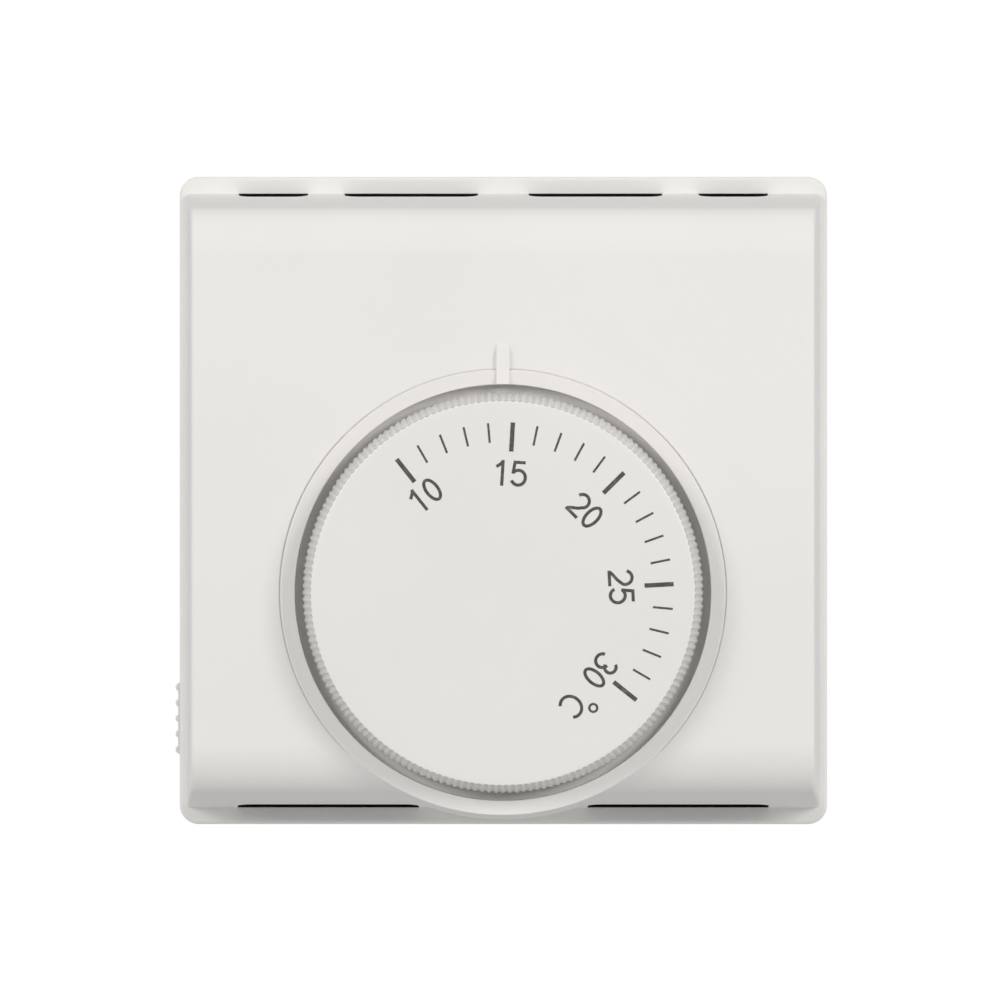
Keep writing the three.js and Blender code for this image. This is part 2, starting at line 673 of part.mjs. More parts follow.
const footTop = ON_BASE + FRAME.sheet + GAP;
const sheetScrew = screw(1.9, 1.3, 1.1, footTop - 1.1);
const frameScrewX = FRAME.halfWidth - FRAME.sheet - FRAME.foot / 2;
place(dialAxis, 'mechanism_frame', mechanismFrame(), steel);
place(dialAxis, 'frame_screw_left', sheetScrew, springSteel, -frameScrewX, 0, footTop);
place(dialAxis, 'frame_screw_right', sheetScrew, springSteel, frameScrewX, 0, footTop);

const fulcrum = new THREE.Group();
fulcrum.position.x = LEVER.pivotX;
dialAxis.add(fulcrum);
place(fulcrum, 'fulcrum_bracket', fulcrumBracket(), steel);
place(fulcrum, 'fulcrum_screw', sheetScrew, springSteel, 0, 0, footTop);
place(fulcrum, 'fulcrum_pin', crossBar(PIN_RADIUS, -6.2, 6.2, 0, LEVER_MIDDLE), springSteel);
place(fulcrum, 'actuating_lever', actuatingLever(), brass);
place(dialAxis, 'lever_spring', leverSpring(), springSteel, 14);

place(dialAxis, 'thrust_button', bar(2.5, 11.2, 12.2), brass);
place(dialAxis, 'capsule_rear_shell', capsuleShell(CAPSULE.back, 1), copper);
place(dialAxis, 'capsule_front_shell', capsuleShell(CAPSULE.front, -1), copper);
place(dialAxis, 'capsule_guide_plate', guidePlate(), steel);
place(dialAxis, 'adjusting_screw', adjustingScrew(), brass);

place(dialAxis, 'adjusting_spindle', adjustingSpindle(), brass);
place(dialAxis, 'spindle_clip', openRing(SPINDLE.neck - 0.5, 6, ...CLIP_SPAN, 4), springSteel);
place(dialAxis, 'dial_knob', dialKnob(), whiteDial);
place(dialAxis, 'dial_hub_ring', openRing(HUB_RADIUS + GAP, 6.1, 30.5, 31.3, 3), springSteel);

place(bench, 'snap_switch_housing', snapSwitchHousing(), darkMoulding, SWITCH.x);
const plunger = bar(PLUNGER.radius, PLUNGER.back, PLUNGER.front);
place(dialAxis, 'snap_switch_plunger', plunger, creamMoulding, SWITCH.x);
const blade = box(-1.1, 1.1, -1.5, 1.5, 4.1, 4.9);
place(bench, 'snap_terminal_upper', blade, brass, 28.3, SWITCH.y1 + GAP + 1.5);
place(bench, 'snap_terminal_lower', blade, brass, 28.3, SWITCH.y0 - GAP - 1.5);

place(bench, 'slide_switch_housing', slideSwitchHousing(), darkMoulding);
place(bench, 'slide_knob', slideKnob(), whiteCasing);
place(bench, 'slide_contact', slideContact(), copper);
const tag = box(-1.5, 1.5, -1, 1, 3.2, 3.6);
place(bench, 'slide_terminal_upper', tag, brass, SLIDE.x1 + GAP + 1.5, -24);
place(bench, 'slide_terminal_lower', tag, brass, SLIDE.x1 + GAP + 1.5, -32);

place(bench, 'terminal_block', terminalBlock(), creamMoulding);
const terminalScrew = screw(2.1, 1.7, 1.2, 2.6);
for (let i = 0; i < TERMINALS; i += 1) {
  const y = BLOCK.y0 + 6.2;
  place(bench, `terminal_clamp_${i + 1}`, terminalClamp(), brass, terminalX(i), y);
  place(bench, `terminal_screw_${i + 1}`, terminalScrew, steel, terminalX(i), y, 9.9);
}
place(bench, 'accelerator_resistor', acceleratorResistor(), resistorBody, 0, 9.4, 9.6);

const LEAD_RADIUS = 0.8;
place(bench, 'supply_lead', wire(SUPPLY_ROUTE, LEAD_RADIUS, 26), brownLead);
place(bench, 'switch_link_lead', wire(LINK_ROUTE, LEAD_RADIUS, 26), brownLead);
place(bench, 'load_lead', wire(LOAD_ROUTE, LEAD_RADIUS, 18), blueLead);

const thermostat = new THREE.Group();
thermostat.name = 'wall_thermostat';
thermostat.add(bench);

export default thermostat;
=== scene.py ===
"""A mechanical wall room thermostat: satin white casing, ribbed temperature dial, side slide switch."""

import json
import math

import bmesh
import bpy
from mathutils import Matrix, Vector


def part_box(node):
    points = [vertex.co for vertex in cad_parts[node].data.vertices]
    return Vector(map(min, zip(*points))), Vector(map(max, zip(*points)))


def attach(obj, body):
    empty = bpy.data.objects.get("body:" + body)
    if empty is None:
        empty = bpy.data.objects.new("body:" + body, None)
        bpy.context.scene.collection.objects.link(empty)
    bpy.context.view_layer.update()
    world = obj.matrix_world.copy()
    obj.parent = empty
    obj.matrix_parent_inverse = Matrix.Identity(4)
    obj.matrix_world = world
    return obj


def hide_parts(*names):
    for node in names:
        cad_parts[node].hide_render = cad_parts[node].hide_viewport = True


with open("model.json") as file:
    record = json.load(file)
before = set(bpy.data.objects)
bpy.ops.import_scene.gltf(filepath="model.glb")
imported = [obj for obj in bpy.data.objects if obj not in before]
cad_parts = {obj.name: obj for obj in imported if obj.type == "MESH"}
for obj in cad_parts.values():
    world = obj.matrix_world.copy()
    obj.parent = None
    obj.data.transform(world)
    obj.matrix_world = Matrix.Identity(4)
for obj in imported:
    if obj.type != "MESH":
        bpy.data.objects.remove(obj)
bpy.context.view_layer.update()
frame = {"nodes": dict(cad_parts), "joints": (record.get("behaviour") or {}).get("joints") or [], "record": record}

# Pieces are drawn on a bench in millimetres: X to the right, Y up the wall, Z out of the wall.
# TO_WALL stands them up in the frame: metres, with Z up and the front towards -Y.
TO_WALL = Matrix.Scale(0.001, 4) @ Matrix.Rotation(math.radians(90), 4, "X")

# ---- Sizes, in millimetres ----------------------------------------------------------------------


def bench_box(node):
    """A CAD node's lowest and highest corners on the bench."""
    low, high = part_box(node)
    first = Vector((low[0], low[2], -high[1])) * 1000
    last = Vector((high[0], high[2], -low[1])) * 1000
    return first, last


COVER_LOW, COVER_HIGH = bench_box("front_cover")
DIAL_LOW, DIAL_HIGH = bench_box("dial_knob")
FLANGE = COVER_HIGH.x - COVER_LOW.x
FLANGE_BACK = COVER_LOW.z
POINTER_FRONT = COVER_HIGH.z
DIAL_CENTRE = (DIAL_LOW + DIAL_HIGH) / 2
DIAL_RADIUS = (DIAL_HIGH.x - DIAL_LOW.x) / 2
DIAL_FRONT = DIAL_HIGH.z
DIAL_BACK = DIAL_LOW.z

FLANGE_CORNER = 2.45
FLANGE_FRONT = 8.0
SKIRT_WALL = 1.8
BODY_SIDE_FACE = 39.0
BODY_SIDE_FOOT = 40.65
BODY_FOOT = 39.35
BODY_DRAFT = math.radians(8.2)
SHOULDER_RADIUS = 6.5
FACE = 31.0
SHELL = 2.0

RING_OUTER = 27.8
RING_FOOT = 29.4
RING_INNER = 26.0
RING_FRONT = 31.35
RING_DISH = 0.35
RING_EDGE = 0.12
GROOVE = 0.2
WELL_BACK = 26.0
WELL_FRONT = 28.0
WELL_LEDGE = 28.8
WELL_LEDGE_WIDTH = 1.2
SPINDLE_HOLE = 4.2
SCREW_CIRCLE = 21.0

VENT_HEIGHT = 4.0
UPPER_VENTS = ((-29.45, 8.9), (-11.8, 17.1), (11.8, 17.1), (29.45, 8.9))
LOWER_VENTS = ((-22.4, 23.2), (22.4, 23.2))

# ---- Mesh tools -----------------------------------------------------------------------------------


def arc(centre, radius, start, end, steps):
    """Points on an arc, angles in degrees anticlockwise from the first axis."""
    points = []
    for i in range(steps + 1):
        angle = math.radians(start + (end - start) * i / steps)
        points.append((centre[0] + radius * math.cos(angle), centre[1] + radius * math.sin(angle)))
    return points


def plate(outline, low, high):
    """A flat plate: an outline of (x, y) points raised from depth low to depth high."""
    bm = bmesh.new()
    face = bm.faces.new([bm.verts.new((x, y, low)) for x, y in outline])
    raised = bmesh.ops.extrude_face_region(bm, geom=[face])
    top = [part for part in raised["geom"] if isinstance(part, bmesh.types.BMVert)]
    bmesh.ops.translate(bm, verts=top, vec=(0, 0, high - low))
    bmesh.ops.recalc_face_normals(bm, faces=bm.faces)
    return bm


def rounded_square(size, corner, steps=12):
    """The outline of a square with round corners, centred on the origin."""
    reach = size / 2 - corner
    points = []
    for turn, (x, y) in enumerate(((reach, reach), (-reach, reach), (-reach, -reach), (reach, -reach))):
        points += arc((x, y), corner, 90 * turn, 90 * turn + 90, steps)
    return points


def turned(profile, steps=256):
    """A solid turned about the Z axis from (radius, depth) points, on the axis at both ends or closed."""
    bm = bmesh.new()
    verts = [bm.verts.new((r, 0, z)) for r, z in profile]
    edges = [bm.edges.new(pair) for pair in zip(verts, verts[1:])]
    bmesh.ops.spin(bm, geom=verts + edges, cent=(0, 0, 0), axis=(0, 0, 1), dvec=(0, 0, 0),
                   angle=math.tau, steps=steps, use_merge=True, use_duplicate=False)
    bmesh.ops.remove_doubles(bm, verts=bm.verts, dist=1e-5)
    bmesh.ops.recalc_face_normals(bm, faces=bm.faces)
    return bm


def block(low, high):
    """A square-edged block between two corners."""
    bm = bmesh.new()
    bmesh.ops.create_cube(bm, size=1)
    size = Vector(high) - Vector(low)
    bmesh.ops.scale(bm, vec=size, verts=bm.verts)
    bmesh.ops.translate(bm, vec=(Vector(high) + Vector(low)) / 2, verts=bm.verts)
    return bm


def moved(bm, x=0.0, y=0.0, z=0.0):
    bmesh.ops.translate(bm, verts=bm.verts, vec=(x, y, z))
    return bm


def bevelled(bm, edges, width, segments=3):
    bmesh.ops.bevel(bm, geom=edges, offset=width, offset_type="OFFSET", segments=segments,
                    profile=0.5, affect="EDGES", material=-1, clamp_overlap=True)
    return bm


def edges_where(bm, test):
    """The edges whose two ends both pass a test on their place."""
    return [edge for edge in bm.edges if all(test(vert.co) for vert in edge.verts)]


def draft_object(bm, name="draft"):
    """A temporary object on the bench, for the boolean modifier."""
    mesh = bpy.data.meshes.new(name)
    bm.to_mesh(mesh)
    bm.free()
    obj = bpy.data.objects.new(name, mesh)
    bpy.context.scene.collection.objects.link(obj)
    return obj


def worked(target, operation, tools):
    """The target joined with, or cut by, each of the tools in turn."""
    for bm in tools:
        tool = draft_object(bm, "tool")
        modifier = target.modifiers.new("work", "BOOLEAN")
        modifier.operation = operation
        modifier.solver = "EXACT"
        modifier.object = tool
        graph = bpy.context.evaluated_depsgraph_get()
        result = bpy.data.meshes.new_from_object(target.evaluated_get(graph))
        target.modifiers.clear()
        target.data = result
        bpy.data.objects.remove(tool)
    return target


def mesh_of(draft):
    """Takes a temporary object's mesh back as a bmesh and clears the object away."""
    bm = bmesh.new()
    bm.from_mesh(draft.data)
    bpy.data.objects.remove(draft)
    bmesh.ops.remove_doubles(bm, verts=bm.verts, dist=1e-5)
    bmesh.ops.dissolve_degenerate(bm, dist=1e-5, edges=bm.edges)
    return bm


def finished(bm, name, body, material, replaces=(), crease=32, weighted=True):
    """Stands a bench mesh up in the frame as a named piece that rides on a body."""
    bmesh.ops.transform(bm, matrix=TO_WALL, verts=bm.verts)
    mesh = bpy.data.meshes.new(name)
    bm.to_mesh(mesh)
    bm.free()
    mesh.shade_smooth()
    mesh.set_sharp_from_angle(angle=math.radians(crease))
    mesh.materials.append(material)
    piece = bpy.data.objects.new(name, mesh)
    bpy.context.scene.collection.objects.link(piece)
    if weighted:
        shading = piece.modifiers.new("even shading", "WEIGHTED_NORMAL")
        shading.keep_sharp = True
    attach(piece, body)
    if replaces:
        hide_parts(*replaces)
    return piece


# ---- Materials ------------------------------------------------------------------------------------


class Finish:
    """A material under construction: a principled shader and short ways to add nodes to it."""

    def __init__(self, name, color, roughness, metallic=0.0):
        self.material = bpy.data.materials.new(name)
        self.material.use_nodes = True
        self.tree = self.material.node_tree
        self.shader = self.tree.nodes["Principled BSDF"]
        self.shader.inputs["Base Color"].default_value = (*color, 1)
        self.shader.inputs["Roughness"].default_value = roughness
        self.shader.inputs["Metallic"].default_value = metallic
        self.place = self.add("ShaderNodeTexCoord").outputs["Object"]
        self.height = None

    def add(self, kind, **settings):
        node = self.tree.nodes.new(kind)
        for key, value in settings.items():
            setattr(node, key, value)
        return node

    def feed(self, socket, source):
        """Sets a socket to a number or colour, or links another node's output to it."""
        if isinstance(source, bpy.types.NodeSocket):
            self.tree.links.new(source, socket)
        else:
            socket.default_value = source

    def noise(self, scale, detail=2.0, roughness=0.5, place=None):
        node = self.add("ShaderNodeTexNoise")
        self.feed(node.inputs["Vector"], place or self.place)
        node.inputs["Scale"].default_value = scale
        node.inputs["Detail"].default_value = detail
        node.inputs["Roughness"].default_value = roughness
        return node.outputs["Fac"]

    def stretched(self, scale, location=(0, 0, 0)):
        """Object coordinates scaled unevenly, for grain that runs one way."""
        node = self.add("ShaderNodeMapping")
        self.feed(node.inputs["Vector"], self.place)
        node.inputs["Scale"].default_value = scale
        node.inputs["Location"].default_value = location
        return node.outputs["Vector"]

    def ramp(self, source, stops):
        """A colour or grey ramp from a list of (position, colour) stops."""
        node = self.add("ShaderNodeValToRGB")
        self.feed(node.inputs["Fac"], source)
        elements = node.color_ramp.elements
        while len(elements) < len(stops):
            elements.new(0.5)
        for element, (position, color) in zip(elements, stops):
            element.position = position
            element.color = (*color, 1) if len(color) == 3 else color
        return node.outputs["Color"]

    def spread(self, source, low, high):
        """Maps a 0 to 1 value onto low to high."""
        node = self.add("ShaderNodeMapRange")
        self.feed(node.inputs["Value"], source)
        node.inputs["To Min"].default_value = low
        node.inputs["To Max"].default_value = high
        return node.outputs["Result"]

    def color(self, source):
        self.feed(self.shader.inputs["Base Color"], source)

    def roughness(self, source):
        self.feed(self.shader.inputs["Roughness"], source)

    def bump(self, source, strength, distance):
        """Adds one layer of relief, distance in metres."""
        node = self.add("ShaderNodeBump")
        node.inputs["Strength"].default_value = strength
        node.inputs["Distance"].default_value = distance
        self.feed(node.inputs["Height"], source)
        if self.height is not None:
            self.feed(node.inputs["Normal"], self.height)
        self.height = node.outputs["Normal"]
        self.feed(self.shader.inputs["Normal"], self.height)


def grey(value):
    return (value, value, value)


def moulded_white(name, color, roughness, grain):
    """Satin white ABS: fine spark-eroded grain, faint flow mottling and a few pale specks."""
    finish = Finish(name, color, roughness)
    mottle = finish.noise(35, detail=3)
    tint = [tuple(c * f for c in color) for f in (0.985, 1.0, 1.012)]
    finish.color(finish.ramp(mottle, ((0.3, tint[0]), (0.5, tint[1]), (0.7, tint[2]))))
    finish.roughness(finish.spread(finish.noise(900, detail=2), roughness - 0.05, roughness + 0.05))
    finish.bump(finish.noise(2600, detail=2, roughness=0.6), grain, 0.00002)
    finish.bump(finish.noise(240, detail=1), 0.12, 0.00003)
    finish.shader.inputs["Specular IOR Level"].default_value = 0.42
    return finish.material


def printed_ink():
    """Dark brown-grey pad-printed ink, thin enough to vary a little in density."""
    finish = Finish("printed_ink", (0.09, 0.073, 0.062), 0.5)
    density = finish.noise(1500, detail=3)
    stops = ((0.35, (0.07, 0.056, 0.047)), (0.55, (0.1, 0.082, 0.07)), (0.75, (0.18, 0.15, 0.13)))
    finish.color(finish.ramp(density, stops))
    return finish.material


def charcoal_moulding_with_vent_shade():
    """Charcoal satin base moulding with faint flow lines; the charcoal is both the base's colour and painted
    shade, dark so the insides of the vents read as shadowed.
    """
    finish = Finish("charcoal_moulding_with_vent_shade", (0.06, 0.062, 0.065), 0.5)
    flow = finish.noise(60, detail=4, place=finish.stretched((1, 1, 6)))
    stops = ((0.35, (0.052, 0.054, 0.057)), (0.5, (0.06, 0.062, 0.065)), (0.7, (0.075, 0.077, 0.08)))
    finish.color(finish.ramp(flow, stops))
    finish.roughness(finish.spread(finish.noise(700), 0.44, 0.6))
    finish.bump(finish.noise(1800, detail=2), 0.25, 0.00003)
    return finish.material


def dark_moulding():
    """Near-black phenolic switch body with a dusty bloom."""
    finish = Finish("dark_moulding", (0.03, 0.03, 0.034), 0.45)
    bloom = finish.noise(160, detail=5, roughness=0.6)
    finish.color(finish.ramp(bloom, ((0.35, (0.024, 0.024, 0.027)), (0.75, (0.05, 0.05, 0.055)))))
    finish.roughness(finish.spread(bloom, 0.35, 0.6))
    finish.bump(finish.noise(1500), 0.2, 0.00003)
    return finish.material


def cream_nylon():
    """Cream nylon with a waxy, slightly mottled skin."""
    finish = Finish("cream_nylon", (0.72, 0.66, 0.53), 0.42)
    mottle = finish.noise(120, detail=3)
    finish.color(finish.ramp(mottle, ((0.3, (0.67, 0.61, 0.48)), (0.7, (0.76, 0.70, 0.57)))))
    finish.roughness(finish.spread(finish.noise(500), 0.36, 0.5))
    finish.bump(finish.noise(1200), 0.15, 0.00003)
    return finish.material


def rolled_metal(name, dark, light, roughness, grain):
    """Rolled sheet or drawn wire: fine lines along one way, with a soft cloud of tarnish."""
    finish = Finish(name, light, roughness, metallic=1.0)
    cloud = finish.noise(90, detail=4)
    finish.color(finish.ramp(cloud, ((0.3, dark), (0.65, light))))
    lines = finish.noise(400, detail=3, place=finish.stretched(grain))
    finish.roughness(finish.spread(lines, roughness - 0.08, roughness + 0.12))
    finish.bump(lines, 0.2, 0.00002)
    return finish.material


def sleeve(name, dark, light):
    """Soft PVC lead insulation."""
    finish = Finish(name, light, 0.4)
    finish.color(finish.ramp(finish.noise(200, detail=2), ((0.35, dark), (0.65, light))))
    finish.roughness(finish.spread(finish.noise(900), 0.32, 0.48))
    finish.bump(finish.noise(700), 0.12, 0.00004)
    return finish.material


def lacquered_resistor(centre):
    """Tan lacquer with colour bands across the body, and bare tails beyond its ends."""
    finish = Finish("lacquered_resistor", (0.6, 0.45, 0.26), 0.3)
    split = finish.add("ShaderNodeSeparateXYZ")
    finish.feed(split.inputs[0], finish.stretched((1, 1, 1), location=(-centre.x, 0, 0)))
    across = finish.add("ShaderNodeMapRange")
    finish.feed(across.inputs["Value"], split.outputs["X"])
    across.inputs["From Min"].default_value = -0.0045
    across.inputs["From Max"].default_value = 0.0045
    tan, brown, black, red, gold = (
        (0.55, 0.42, 0.24), (0.12, 0.04, 0.015), (0.015, 0.015, 0.015), (0.45, 0.03, 0.02), (0.55, 0.38, 0.1))
    tin = (0.6, 0.6, 0.6)
    stops = ((0.0, tin), (0.055, tan), (0.12, brown), (0.2, tan), (0.34, black), (0.42, tan),
             (0.52, red), (0.6, tan), (0.8, gold), (0.88, tan), (0.945, tin))
    finish.color(finish.ramp(across.outputs["Result"], stops))
    finish.tree.nodes["Color Ramp"].color_ramp.interpolation = "CONSTANT"
    finish.bump(finish.noise(900), 0.1, 0.00004)
    return finish.material


WHITE = (0.875, 0.856, 0.832)
casing_white = moulded_white("casing_white", WHITE, 0.5, 0.35)
dial_white = moulded_white("dial_white", (0.865, 0.85, 0.825), 0.24, 0.12)
ink = printed_ink()
# Base finish: charcoal that is partly painted shade for the shadowed insides of the vents.
base_charcoal_vent_shade = charcoal_moulding_with_vent_shade()
switch_black = dark_moulding()
nylon_cream = cream_nylon()
zinc_steel = rolled_metal("zinc_steel", (0.5, 0.51, 0.53), (0.66, 0.67, 0.69), 0.34, (1, 8, 8))
blue_steel = rolled_metal("blue_steel", (0.3, 0.31, 0.33), (0.46, 0.47, 0.5), 0.3, (1, 8, 8))
turned_brass = rolled_metal("turned_brass", (0.62, 0.44, 0.17), (0.78, 0.6, 0.29), 0.3, (1, 10, 1))
rolled_copper = rolled_metal("rolled_copper", (0.62, 0.33, 0.2), (0.82, 0.47, 0.31), 0.28, (8, 1, 8))
brown_sleeve = sleeve("brown_sleeve", (0.1, 0.04, 0.018), (0.15, 0.06, 0.028))
blue_sleeve = sleeve("blue_sleeve", (0.02, 0.08, 0.27), (0.035, 0.13, 0.4))

# ---- Cover ----------------------------------------------------------------------------------------


def body_section(inset, bottom, steps=24):
    """The cover's height and depth section, moved inwards by inset and running down to bottom."""
    sine, cosine = math.sin(BODY_DRAFT), math.cos(BODY_DRAFT)
    depth = FACE - SHOULDER_RADIUS
    height = BODY_FOOT - (SHOULDER_RADIUS + (depth - FLANGE_FRONT) * sine) / cosine
    radius = SHOULDER_RADIUS - inset
    foot = BODY_FOOT - inset / cosine + (FLANGE_FRONT - bottom) * math.tan(BODY_DRAFT)
    draft = math.degrees(BODY_DRAFT)
    upper = arc((height, depth), radius, draft, 90, steps)
    lower = arc((-height, depth), radius, 90, 180 - draft, steps)
    return [(foot, bottom)] + upper + lower + [(-foot, bottom)]


def across(section, half_width):
    """A (height, depth) section extruded sideways from -half_width to half_width."""
    bm = plate(section, -half_width, half_width)
    swap = Matrix(((0, 0, 1, 0), (1, 0, 0, 0), (0, 1, 0, 0), (0, 0, 0, 1)))
    bmesh.ops.transform(bm, matrix=swap, verts=bm.verts)
    return bm


def body_block(inset, bottom):
    """The body, or the room inside it, with drafted sides."""
    half = BODY_SIDE_FACE - inset
    slope = (BODY_SIDE_FOOT - BODY_SIDE_FACE) / (FACE - FLANGE_FRONT)
    bm = across(body_section(inset, bottom), half)
    for vert in bm.verts:
        vert.co.x *= 1 + slope * (FACE - vert.co.z) / half
    return bm


def cover_body():
    """The drafted body, with its side edges rounded."""
    bm = body_block(0, 7)
    sides = edges_where(bm, lambda co: abs(co.x) > BODY_SIDE_FACE - 0.01)
    sides = [edge for edge in sides if edge.verts[0].co.x * edge.verts[1].co.x > 0]
    rim = [edge for edge in sides if max(vert.co.z for vert in edge.verts) > 7.01]
    return bevelled(bm, rim, 0.6, segments=5)


def cover_flange():
    bm = plate(rounded_square(FLANGE, FLANGE_CORNER), FLANGE_BACK, FLANGE_FRONT)
    rim = edges_where(bm, lambda co: co.z > FLANGE_FRONT - 0.01)
    return bevelled(bm, rim, 0.5, segments=5)


def cover_ring():
    """The raised dished ring round the dial; its drafted side runs down over the shoulder to the flange."""
    edge = arc((RING_OUTER - RING_EDGE, RING_FRONT - RING_EDGE), RING_EDGE, 4, 96, 6)
    profile = [(0, 7), (RING_FOOT, 7), (RING_FOOT, FLANGE_FRONT)] + edge
    profile += [(RING_INNER, RING_FRONT - RING_DISH), (0, RING_FRONT - RING_DISH)]
    return moved(turned(profile), y=DIAL_CENTRE.y)


def vent(x, width, side):
    """A vent cutter at the foot of the body, with round front corners, open through the flange behind."""
    corner = 2.0
    half = width / 2
    low, high = FLANGE_FRONT, FLANGE_FRONT + VENT_HEIGHT
    outline = [(half, low)] + arc((half - corner, high - corner), corner, 0, 90, 6)
    outline += arc((corner - half, high - corner), corner, 90, 180, 6) + [(-half, low)]
    bm = plate([(x + px, pz) for px, pz in outline], -2.5, 2.5)
    bmesh.ops.rotate(bm, verts=bm.verts, cent=(0, 0, 0), matrix=Matrix.Rotation(math.radians(90), 3, "X"))
    foot = sorted((side * 36, side * BODY_FOOT))
    # The opening behind the vent lets the charcoal base, partly painted shade, show dark through the slot.
    back = block((x - half, foot[0], low - SKIRT_WALL - 1), (x + half, foot[1], low + 0.1))
    return moved(bm, y=side * 38.5), back


def screw_places():
    reach = SCREW_CIRCLE / math.sqrt(2)
    return ((reach, DIAL_CENTRE.y + reach), (-reach, DIAL_CENTRE.y - reach))


def pointer():
    """The raised index bar above the dial: crisp at the ring, fading into the face at its top."""
    inner, outer = DIAL_CENTRE.y + RING_INNER + 0.03, 19.75
    section = [(inner, FACE - 0.5), (outer, FACE - 0.5), (outer, FACE + 0.02)]
    section += [(outer - 0.5, FACE + 0.25), (outer - 1.3, POINTER_FRONT - 0.02), (inner, POINTER_FRONT)]
    bm = across(section, 0.825)
    long_edges = [edge for edge in edges_where(bm, lambda co: co.z > FACE)
                  if abs(edge.verts[0].co.x - edge.verts[1].co.x) < 0.01]
    return bevelled(bm, long_edges, 0.16, segments=3)


def front_cover():
    under_flange = FLANGE_FRONT - SKIRT_WALL
    inner_flange = FLANGE - 2 * SKIRT_WALL
    cover = draft_object(cover_flange())
    worked(cover, "UNION", (cover_body(), cover_ring()))
    rooms = (
        body_block(SHELL, under_flange - 1),
        plate(rounded_square(inner_flange, FLANGE_CORNER - SKIRT_WALL), -1, under_flange),
        moved(turned([(0, under_flange - 1.5), (RING_INNER, under_flange - 1.5),
                      (RING_INNER, WELL_BACK), (0, WELL_BACK)]), y=DIAL_CENTRE.y),
    )
    worked(cover, "DIFFERENCE", rooms)
    cup = turned([(0, WELL_BACK), (RING_OUTER - 0.8, WELL_BACK), (RING_OUTER - 0.8, FACE - 1), (0, FACE - 1)])
    worked(cover, "UNION", (moved(cup, y=DIAL_CENTRE.y),))
    lip = 0.08
    mouth = RING_FRONT - RING_DISH
    step = RING_INNER - WELL_LEDGE_WIDTH
    well = turned([(0, WELL_FRONT), (step, WELL_FRONT), (step, WELL_LEDGE), (RING_INNER, WELL_LEDGE),
                   (RING_INNER, mouth - lip), (RING_INNER + lip, mouth + 0.02),
                   (RING_INNER + lip, DIAL_FRONT), (0, DIAL_FRONT)])
    groove = turned([(RING_OUTER, FACE - GROOVE), (RING_OUTER + GROOVE, FACE - GROOVE),
                     (RING_OUTER + GROOVE, FACE + 0.2), (RING_OUTER, FACE + 0.2), (RING_OUTER, FACE - GROOVE)])
    cutters = [moved(well, y=DIAL_CENTRE.y), moved(groove, y=DIAL_CENTRE.y)]
    hole = turned([(0, 20), (SPINDLE_HOLE, 20), (SPINDLE_HOLE, 34), (0, 34)], steps=48)
    cutters.append(moved(hole, y=DIAL_CENTRE.y))
    for x, y in screw_places():
        hole = turned([(0, 25), (1.4, 25), (1.4, 29), (0, 29)], steps=32)
        cutters.append(moved(hole, x=x, y=y))
    for side, vents in ((1, UPPER_VENTS), (-1, LOWER_VENTS)):
        for x, width in vents:
            cutters += vent(x, width, side)
    knob_low, knob_high = bench_box("slide_knob")
    travel = 1000 * max(abs(v) for v in joint_range("slide_switch_travel"))
    shoulder = 1.2
    cutters.append(block((-42, knob_low.y + shoulder - travel - 0.4, -1),
                         (-39, knob_high.y - shoulder + 0.4, knob_high.z + 0.35)))
    worked(cover, "DIFFERENCE", cutters)
    worked(cover, "UNION", (pointer(),))
    return finished(mesh_of(cover), "cover_shell", "base", casing_white, ("front_cover",))


def joint_range(name):
    joint = next(j for j in frame["joints"] if j["name"] == name)
    return joint.get("range_m") or joint["range_deg"]


# ---- Dial -----------------------------------------------------------------------------------------

FLUTES = 180
FLUTE_FACETS = 8
FLUTE_DEPTH = 0.2
DIAL_FACE = DIAL_FRONT - 0.04
DIAL_FACE_RADIUS = 23.9
DIAL_SHOULDER = 31.0
DIAL_WALL = 1.5


def dial_profile():
    """(radius, depth, flute share) down the outside of the dial, from the face's centre."""
    slope = (DIAL_RADIUS - DIAL_FACE_RADIUS) / (DIAL_FACE - DIAL_SHOULDER)
    edge = 0.3
    rows = [(r, DIAL_FACE, 0.0) for r in (6.0, 14.0, 20.0, 22.3)]
    for angle in range(0, 91, 15):
        turn = math.radians(angle)
        radius = DIAL_FACE_RADIUS - edge + edge * math.sin(turn)
        depth = DIAL_FACE - edge + edge * math.cos(turn)
        rows.append((radius, depth, max(0.0, (angle - 30) / 60)))
    for depth in (36.4, 34.5, 32.8, DIAL_SHOULDER):
        rows.append((DIAL_RADIUS - slope * (depth - DIAL_SHOULDER), depth, 1.0))
    rows.append((DIAL_RADIUS, DIAL_BACK + 0.3, 1.0))
    rows.append((DIAL_RADIUS - 0.25, DIAL_BACK, 1.0))
    return rows


def inner_profile():
    roof = DIAL_FACE - 1.8
    rim = DIAL_RADIUS - DIAL_WALL
    return [(rim, DIAL_BACK, 0), (rim, DIAL_SHOULDER, 0), (rim - 1.1, roof + 0.2, 0), (rim - 1.3, roof, 0),
            (14.0, roof, 0), (6.0, roof, 0)]


